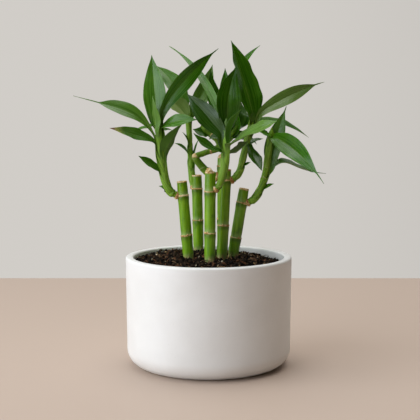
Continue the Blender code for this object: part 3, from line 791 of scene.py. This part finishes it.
def carried_frames(path):
    """Two directions at right angles to the path at each point, turned as little as possible."""
    ahead = unit(np.gradient(path, axis=0))
    first = np.array((1.0, 0.0, 0.0)) if abs(ahead[0][0]) < 0.8 else np.array((0.0, 1.0, 0.0))
    sides = []
    for direction in ahead:
        first = square_to(first, direction)
        sides.append(first)
    sides = np.array(sides)
    return sides, np.cross(ahead, sides)


def add_tube(shape, path, radius, tone, place=(0, 0, 0)):
    """A closed tube: radius has a row for each point of the path and a column for each side."""
    sides = radius.shape[1]
    first, second = carried_frames(path)
    angle = round_angles(sides)
    points = path[:, None] + ringed(first, second, angle) * radius[:, :, None]
    shape.add(points, wrapped_faces(len(path), sides, flip=True), tone, place)


def tube_values(rows, sides, **columns):
    """A value with four parts for each point of a tube."""
    made = np.zeros((rows, sides, 4))
    for key, value in columns.items():
        made[:, :, "abcd".index(key)] = value
    return made.reshape(-1, 4)


# ---- canes

def cane_line(stalk):
    """The cane's foot, its direction and its whole length."""
    top = np.array(stalk["top"], float)
    lean = unit(top - np.array((*stalk["foot"], SOIL_CROWN)))
    foot = top - lean * ((top[2] - CANE_FOOT) / lean[2])
    return foot, lean, float(np.linalg.norm(top - foot))


def cane_rows(scars, length):
    """Distances up the cane, close together at its scars and its top."""
    rows = set(np.round(np.arange(0.0, length - 3.0, 1.7), 2))
    for scar in scars:
        rows = {row for row in rows if abs(row - scar) > 2.4}
        rows |= set(np.round(np.arange(scar - 2.4, scar + 2.4, 0.24), 2))
    rows = {row for row in rows if row < length - 2.4}
    return np.array(sorted(rows | set(np.round(np.arange(length - 2.4, length - 0.1, 0.3), 2))))


def wandering(angle, seed, size):
    """A closed, slightly irregular line round a stem."""
    waves = np.sin(angle + seed) + 0.5 * np.sin(2 * angle + 2.3 * seed) + 0.3 * np.sin(5 * angle + seed)
    return size * waves


def add_cane(shape, stalk, seed):
    foot, lean, length = cane_line(stalk)
    scars = [(height - foot[2]) / lean[2] for height in stalk["scars"]]
    rows = cane_rows(scars, length)
    angle = round_angles(CANE_SIDES)
    radius = np.full((len(rows), CANE_SIDES), CANE_RADIUS)
    radius += 0.06 * np.sin(3 * angle + seed) + 0.05 * np.sin(rows[:, None] / 9.0 + 2 * angle)
    radius -= (CANE_RADIUS - CANE_TOP_RADIUS) * smooth((rows[:, None] - scars[-1]) / (length - scars[-1]))
    dry = np.zeros_like(radius)
    pale = np.zeros_like(radius)
    light = np.ones_like(radius)
    for number, scar in enumerate(scars):
        off = rows[:, None] - scar - wandering(angle, seed + number, 0.22)
        thick = SCAR_THICK + wandering(angle, 2.0 * seed + number, SCAR_UNEVEN)
        radius += (SCAR_PROUD * bell(off, thick * 1.1) + 0.28 * bell(off + 2.6, 2.4)
                   - 0.12 * bell(off - 2.2, 1.6))
        dry = np.maximum(dry, smooth(2.0 - np.abs(off) / thick))
        pale = np.maximum(pale, 0.55 * smooth(1.0 - off / 5.5) * (off > 0))
        # painted shade: a darker band just below each scar ring, standing for its shadow
        light -= 0.45 * bell(off + 1.9, 1.9) * (off < 0)
        light *= 1.0 + 0.12 * math.sin(3 * seed + number) * (rows[:, None] > scar)
    top = length - rows[:, None] - wandering(angle, seed + 5.0, 0.16)
    dry = np.maximum(dry, smooth(1.9 - top / 0.8))
    soil = smooth(1.0 - (rows[:, None] + CANE_FOOT - SOIL_CROWN) / 7.0)
    pale = np.maximum(pale, 0.75 * soil)
    tan = smooth(0.4 + np.sin(3 * angle + seed) + np.sin(7 * angle - seed))
    dry = np.maximum(dry, 0.9 * soil ** 2 * tan)
    radius -= 0.4 * soil
    light *= 1.0 - 0.25 * soil
    cut = np.array(((0.97, 0.0), (0.9, 0.05), (0.82, -0.1), (0.72, -0.45), (0.45, -0.65), (0.03, -0.7)))
    rows_all = np.concatenate((rows, length + cut[:, 1]))
    radius = np.concatenate((radius, radius[-1] * cut[:, :1] + 0.05 * np.sin(7 * angle + seed)))
    path = foot + lean * rows_all[:, None]
    radius[-1] = np.abs(radius[-1]) * 0.5 + 0.05
    dry, pale, light = [np.concatenate((values, np.full((len(cut), CANE_SIDES), end)))
                        for values, end in ((dry, 1.0), (pale, 0.0), (light, 1.0))]
    first = square_to(np.array((1.0, 0.0, 0.0)), lean)
    points = path[:, None] + ringed(first, np.cross(lean, first), angle) * radius[:, :, None]
    shape.add(points, wrapped_faces(len(path), CANE_SIDES, flip=True),
              tube_values(len(path), CANE_SIDES, a=dry, b=light, c=pale))


def add_lump(shape, centre, size, seed):
    """A dry, shrivelled bit: size is its half width, depth and height."""
    points, faces = pebble(3)
    grown = [1.0 + 0.5 * noise.noise(Vector(point) * 1.7 + Vector((seed, 0, 0))) for point in points]
    bit = points * np.array(grown)[:, None] * np.array(size)
    shape.add(np.array(centre) + bit, faces, (1, 1, 0, 0))


def add_scale(shape, centre, out, size):
    """A small dry bud scale that stands up from a scar, against the cane."""
    points, faces = pebble(3)
    side = np.cross((0, 0, 1.0), out)
    width = size * 0.62 * (1.0 - 0.75 * smooth((points[:, 2] + 0.6) / 1.6))
    bit = (side * (points[:, 0] * width)[:, None] + np.array(out) * (points[:, 1] * size * 0.3)[:, None]
           + np.array((0, 0, 1.0)) * (points[:, 2] * size)[:, None])
    shape.add(centre + bit, faces, (1, 1, 0, 0))


def add_collar(shape, way, seed):
    """The torn dry rim round a shoot where it broke out of the cane."""
    stations = np.linspace(*COLLAR_REACH, COLLAR_ROWS)
    path = way.place(stations)
    angle = round_angles(COLLAR_SIDES)
    share = np.linspace(0, 1, COLLAR_ROWS)[:, None]
    torn = 0.5 + 0.5 * wandering(angle, seed, 0.7)
    radius = way.radius(stations)[:, None] * np.ones((1, COLLAR_SIDES)) + 0.25
    radius += (0.3 + 0.42 * torn) * bell(share - 0.35 - 0.2 * torn, 0.24)
    radius -= 1.0 * smooth((share - 0.7) / 0.3)
    rust = smooth(0.5 + 0.9 * np.sin(2.0 * angle + seed) + 2.0 * (share - 0.5))
    tone = tube_values(COLLAR_ROWS, COLLAR_SIDES, a=1.0, b=1.0, d=rust)
    add_tube(shape, path, radius, tone)


def make_cane(name, stalk, seed, material):
    shape = Shape()
    add_cane(shape, stalk, seed)
    foot, lean, _ = cane_line(stalk)
    add_collar(shape, Way(stalk), seed)
    angle = math.radians(-90 + 28 * math.sin(2.1 * seed))
    out = np.array((math.cos(angle), math.sin(angle), 0.0))
    middle = foot + lean * ((stalk["scars"][0] - foot[2]) / lean[2])
    add_scale(shape, middle + out * (CANE_RADIUS + 0.25) + (0, 0, 0.7), out, SCALE_SIZE)
    if "stub" in stalk:
        width, height = stalk["stub"]
        top = np.array(stalk["top"], float)
        add_lump(shape, top + (-0.9, -0.4, 0.25 * height), (width, width * 0.8, height * 0.62), seed)
    return make_piece(name + "_cane", shape, material, "bamboo_green", name)


# ---- shoots

def shoots_of(stalk):
    return (stalk, *stalk.get("twigs", ()))


def sheath_edges(way, seed):
    """Where the old sheaths end along a shoot, with the side on which each is longest."""
    edges = []
    place = 9.0
    number = 0
    while place < way.length - 8.0:
        edges.append((place, seed + math.pi * number + 0.5 * math.sin(4.0 * number + seed)))
        place += 11.0 + 3.0 * math.sin(2.7 * number + seed)
        number += 1
    return edges + [(way.length + 4.0, 0.0)]


def add_shoot(shape, stalk, seed):
    way = Way(stalk)
    stations = np.arange(0.0, way.length + 0.3, 0.5)
    angle = round_angles(SHOOT_SIDES)
    radius = way.radius(stations)[:, None] * np.ones((1, SHOOT_SIDES))
    pale = np.zeros_like(radius)
    below = np.full_like(radius, 2.0)
    for place, phase in sheath_edges(way, seed):
        edge = place + 2.4 * np.cos(angle - phase)
        inside = (stations[:, None] <= edge) & (stations[:, None] > below)
        share = np.clip((stations[:, None] - below) / np.maximum(edge - below, 1.0), 0.0, 1.0)
        radius += inside * (0.34 * share ** 4 - 0.1)
        pale = np.maximum(pale, inside * smooth((share - 0.93) / 0.06))
        below = edge * np.ones_like(radius)
    dry = np.zeros_like(radius)
    for ring in stalk.get("rings", ()):
        off = stations[:, None] - ring - wandering(angle, seed + ring, 0.25)
        radius += 0.42 * bell(off, 0.8)
        dry = np.maximum(dry, smooth(2.0 - np.abs(off) / 0.6))
    end = smooth((way.length - stations) / 5.0)[:, None]
    radius *= 0.35 + 0.65 * end
    place = place_values(stations, angle / math.tau, seed)
    # painted shade: a shoot is darkened as much as its stalk's darker leaves
    light = float(np.mean(np.minimum(stalk["shades"], 1.0)))
    tone = tube_values(len(stations), SHOOT_SIDES, a=dry, b=light, c=pale)
    add_tube(shape, way.place(stations), radius, tone, place)


def make_shoot(name, stalk, seed, material):
    shape = Shape()
    for shoot in shoots_of(stalk):
        add_shoot(shape, shoot, seed)
    return make_piece(name + "_shoot", shape, material, "bamboo_green", name)


# ---- leaves

def heading_vector(heading, rise):
    heading, rise = math.radians(heading), math.radians(rise)
    level = math.cos(rise)
    return np.array((math.cos(heading) * level, math.sin(heading) * level, math.sin(rise)))


def leaf_midrib(way, leaf):
    """Points and directions of a leaf's midrib, which starts along the shoot and then turns away."""
    at, heading, rise, droop, swing, length = leaf[:6]
    neck = leaf[9]
    start = way.direction(at)[0]
    points = [way.place(at)[0]]
    directions = []
    for i in range(MIDRIB_STEPS):
        u = (i + 0.5) / MIDRIB_STEPS
        free = heading_vector(heading + swing * u ** 1.3, rise - droop * u ** 1.5)
        turned = unit(start + (free - start) * smooth(u / neck))
        directions.append(turned)
        points.append(points[-1] + turned * length / MIDRIB_STEPS)
    directions.append(directions[-1])
    return np.array(points), np.array(directions)


def leaf_width(u, neck, tail):
    """A leaf's width at a share of its length, as a share of its greatest width."""
    lift = 0.6 + 1.8 * neck
    fall = 1.25
    start = 0.36 * neck
    t = np.clip((u - start) / (1.0 - tail - start), 0.0, 1.0)
    peak = lift / (lift + fall)
    blade = t ** lift * (1.0 - t) ** fall / (peak ** lift * (1.0 - peak) ** fall)
    clasp = 0.2 * (1.0 - smooth((u - 0.1) / 0.5))
    return blade + clasp * (1.0 - blade)


def sheath_depth(leaf):
    """How far a leaf's clasping base reaches down its shoot."""
    return max(min(SHEATH_DROP, leaf[0] - SHEATH_CLEAR), 3.0)


def leaf_rows(leaf):
    """Distances from the root along a leaf, with some below it where it clasps the shoot."""
    length = leaf[5]
    count = int(np.clip(length * 0.6, 16, 44))
    t = np.linspace(0, 1, count + 1)
    sheath = np.linspace(-sheath_depth(leaf), 0, 12, endpoint=False)
    return np.concatenate((sheath, length * (0.35 * t ** 2 + 0.65 * t)))


def leaf_surface(way, leaf, layer):
    """The middle surface of a leaf: its clasping base, its narrow neck and its blade."""
    _, heading, _, _, swing, length, width, roll, tip_roll, neck, tail = leaf
    rows = leaf_rows(leaf)
    u = np.clip(rows / length, 0.0, 1.0)
    points, directions = leaf_midrib(way, leaf)
    steps = np.linspace(0, 1, MIDRIB_STEPS + 1)
    centre = between(u, steps, points)
    ahead = unit(between(u, steps, directions))
    angle = np.radians(heading + swing * u ** 1.3)
    side = square_to(np.stack((-np.sin(angle), np.cos(angle), 0 * angle), axis=1), ahead)
    upper = np.cross(ahead, side)
    turn = np.radians(roll + (tip_roll - roll) * u)[:, None]
    across = side * np.cos(turn) + upper * np.sin(turn)
    lift = upper * np.cos(turn) - side * np.sin(turn)
    thread = TIP_WIDTH + 0.8 * smooth((1.0 - u) / max(tail, 0.01)) * (tail > 0.03)
    half = np.maximum(leaf_width(u, neck, tail) * width, thread)[:, None] / 2
    v = ACROSS[None]
    fold = LEAF_FOLD + 0.9 * (1.0 - smooth((u - 0.02) / (0.9 * neck)))[:, None]
    valley = np.sqrt(v ** 2 + 0.0016) - 0.04
    wave = LEAF_WAVE * np.sin(11.0 * u + heading)[:, None] * v
    crimp = 0.035 * np.abs(v) ** 3 * np.sin(31.0 * u[:, None] + 1.7 * heading + 2.0 * (v > 0))
    rise = half * (fold * valley + 0.1 * np.abs(v) * (1 - np.abs(v)) + wave + crimp)
    blade = centre[:, None] + across[:, None] * (half * v)[:, :, None] + lift[:, None] * rise[:, :, None]
    return rows, u, clasped(way, leaf, rows, centre, blade, layer)


def clasped(way, leaf, rows, centre, blade, layer):
    """The blade, with its base wrapped round the shoot and the sheaths of the leaves above it."""
    at, heading, length = leaf[0], leaf[1], leaf[5]
    opening = min(11.0, 0.26 * length)
    drop = sheath_depth(leaf)
    q = smooth((rows + drop) / (drop + opening))
    down = smooth(-(rows + 0.55 * drop) / (0.45 * drop))
    axis = way.place(at + rows)
    ahead = way.direction(at + rows)
    out = square_to(heading_vector(heading, 0.0)[None] * np.ones((len(rows), 1)), ahead)
    side = np.cross(ahead, out)
    radius = way.radius(at + rows) + (0.12 + SHEATH_LAYER * layer) * (1.0 - down) - 0.4 * down
    wrap = np.radians(SHEATH_WRAP - (SHEATH_WRAP - SHEATH_OPEN) * q)[:, None] * ACROSS[None]
    flare = SHEATH_FLARE * min(1.0, length / 60.0) * q ** 3
    sheath = (axis + out * flare[:, None])[:, None] + ringed(out, side, wrap) * radius[:, None, None]
    reach = np.sum((centre - axis) * out, axis=1)
    push = np.maximum(radius + flare - reach, 0.0) * (1.0 - smooth((rows - opening) / (0.3 * length)))
    loose = blade + (out * push[:, None])[:, None]
    share = smooth((rows + 2.0) / (opening + 2.0))[:, None, None]
    return sheath * (1.0 - share) + loose * share


def add_leaf(shape, way, leaf, layer, seed, shade, brown):
    rows, u, middle = leaf_surface(way, leaf, layer)
    normal = unit(np.cross(np.gradient(middle, axis=0), np.gradient(middle, axis=1)))
    v = ACROSS[None]
    thick = LEAF_THICKNESS * (1.0 - 0.55 * np.abs(v) ** 2) * (1.0 - 0.5 * u[:, None])
    rib = RIB_DEPTH * bell(v, RIB_WIDTH) * (1.0 - 0.85 * u[:, None])
    top = middle + normal * (thick / 2)[:, :, None]
    bottom = middle - normal * (thick / 2 + rib)[:, :, None]
    points = np.concatenate((top, bottom[:, ::-1]), axis=1)
    across = np.concatenate((ACROSS, ACROSS[::-1]))
    under = np.concatenate((np.zeros(len(ACROSS)), np.ones(len(ACROSS))))
    place = place_values(rows / leaf[5], across, seed)
    base = 1.0 - smooth(rows / (0.8 * leaf[9] * leaf[5]))
    tone = tube_values(len(rows), len(across), a=shade, b=under, c=brown, d=base[:, None])
    shape.add(points, wrapped_faces(len(rows), len(across)), tone, place)


def make_leaves(name, stalk, seed, material):
    shape = Shape()
    for shoot in shoots_of(stalk):
        way = Way(shoot)
        for number, leaf in enumerate(shoot["leaves"]):
            brown = 1.0 if number in shoot.get("brown", ()) else 0.0
            layer = sum(other[0] > leaf[0] for other in shoot["leaves"])
            add_leaf(shape, way, leaf, layer, seed + 0.37 * number, shoot["shades"][number], brown)
    return make_piece(name + "_leaves", shape, material, "bamboo_green", name)


# ---- stage

def area_light(name, place, target, size, power, colour):
    data = bpy.data.lights.new(name, "AREA")
    data.shape = "RECTANGLE"
    data.size, data.size_y = size
    data.energy = power
    data.color = colour
    item = new_object(name, data)
    item.location = place
    item.rotation_euler = (Vector(target) - Vector(place)).to_track_quat("-Z", "Y").to_euler()
    item.visible_camera = False


def make_world():
    """Plain pale surroundings, brightest behind the part and on its left."""
    sky = Paint("studio", bpy.data.worlds)
    parts = sky.node("SeparateXYZ", {0: sky.node("TexCoord", {}).outputs["Generated"]})
    turned = {0: parts.outputs[0], 1: WORLD_TURN, 2: parts.outputs[1]}
    across = sky.node("Math", turned, operation="MULTIPLY_ADD").outputs[0]
    level = sky.node("MapRange", {"Value": across, "From Min": WORLD_DIM, "From Max": WORLD_BRIGHT})
    colour = sky.colours(level.outputs[0], (0.0, WORLD_SHADE), (1.0, WORLD_PALE))
    sky.put(sky.tree.nodes["Background"], "Color", colour)
    sky.owner.cycles_visibility.glossy = False  # only the soft boxes are mirrored
    bpy.context.scene.world = sky.owner


def make_floor(material):
    shape = Shape()
    side = FLOOR_SIDE
    front, back = FLOOR_FRONT, FLOOR_BACK
    points = [(-side, front, 0), (side, front, 0), (side, back, 0), (-side, back, 0)]
    shape.add(points + [(x, y, -FLOOR_DEPTH) for x, y, _ in points],
              [(0, 1, 2, 3), (7, 6, 5, 4), (0, 4, 5, 1), (1, 5, 6, 2), (2, 6, 7, 3), (3, 7, 4, 0)],
              (0, 0, 0, 1))
    item = make_object("floor", shape, material)


def make_camera():
    data = bpy.data.cameras.new("camera")
    data.lens, data.sensor_width = CAMERA_LENS, CAMERA_SENSOR
    item = new_object("camera", data)
    item.location = CAMERA_PLACE
    item.rotation_euler = (math.radians(CAMERA_TILT), 0.0, 0.0)
    bpy.context.scene.camera = item


def make_stage():
    make_camera()
    make_world()
    make_floor(floor_paint())
    area_light("window", (-1.35, -0.8, 0.72), (0.0, 0.0, 0.12), (2.2, 1.5), 33.0, (0.86, 0.925, 1.0))
    area_light("ceiling", (0.1, 0.15, 1.5), (0.0, 0.0, 0.1), (1.3, 1.1), 14.5, (1.0, 0.985, 0.96))
    area_light("wall", (0.0, 1.35, 0.55), (0.0, 0.0, 0.15), (2.6, 1.5), 4.0, (1.0, 0.98, 0.95))
    bpy.context.scene.view_settings.view_transform = "Standard"


# ---- everything

def make_plants():
    cane, shoot, leaf = cane_paint(), shoot_paint(), leaf_paint()
    for number, (name, stalk) in enumerate(STALKS.items()):
        seed = 1.3 + 2.1 * number
        make_cane(name, stalk, seed, cane)
        make_shoot(name, stalk, seed, shoot)
        make_leaves(name, stalk, seed, leaf)


def make_pot_and_mix():
    make_pot(ceramic_paint())
    make_soil(soil_paint())
    loam, bark = crumb_paint("loam_crumbs", 1.0), crumb_paint("bark", 0.35)
    scatter("soil_crumbs", 11, 2000, (0.9, 4.0), (1.0, 0.9, 0.85), 180, 0.42,
            ((0.01, 0.007, 0.005), (0.024, 0.016, 0.01), (0.005, 0.004, 0.003),
             (0.06, 0.038, 0.022)), loam)
    scatter("bark_chips", 12, 560, (1.8, 6.0), (1.25, 0.5, 0.32), 48, 0.36,
            ((0.12, 0.056, 0.029), (0.042, 0.025, 0.016), (0.19, 0.086, 0.043), (0.022, 0.015, 0.01),
             (0.24, 0.15, 0.08)), bark)
    scatter("perlite", 13, 170, (0.7, 2.6), (1.3, 0.7, 0.6), 180, 0.7,
            ((0.56, 0.45, 0.28), (0.44, 0.3, 0.15), (0.68, 0.6, 0.43), (0.34, 0.21, 0.1)), loam)
    make_fibres(crumb_paint("fibre", 0.2))


make_stage()
make_pot_and_mix()
make_plants()
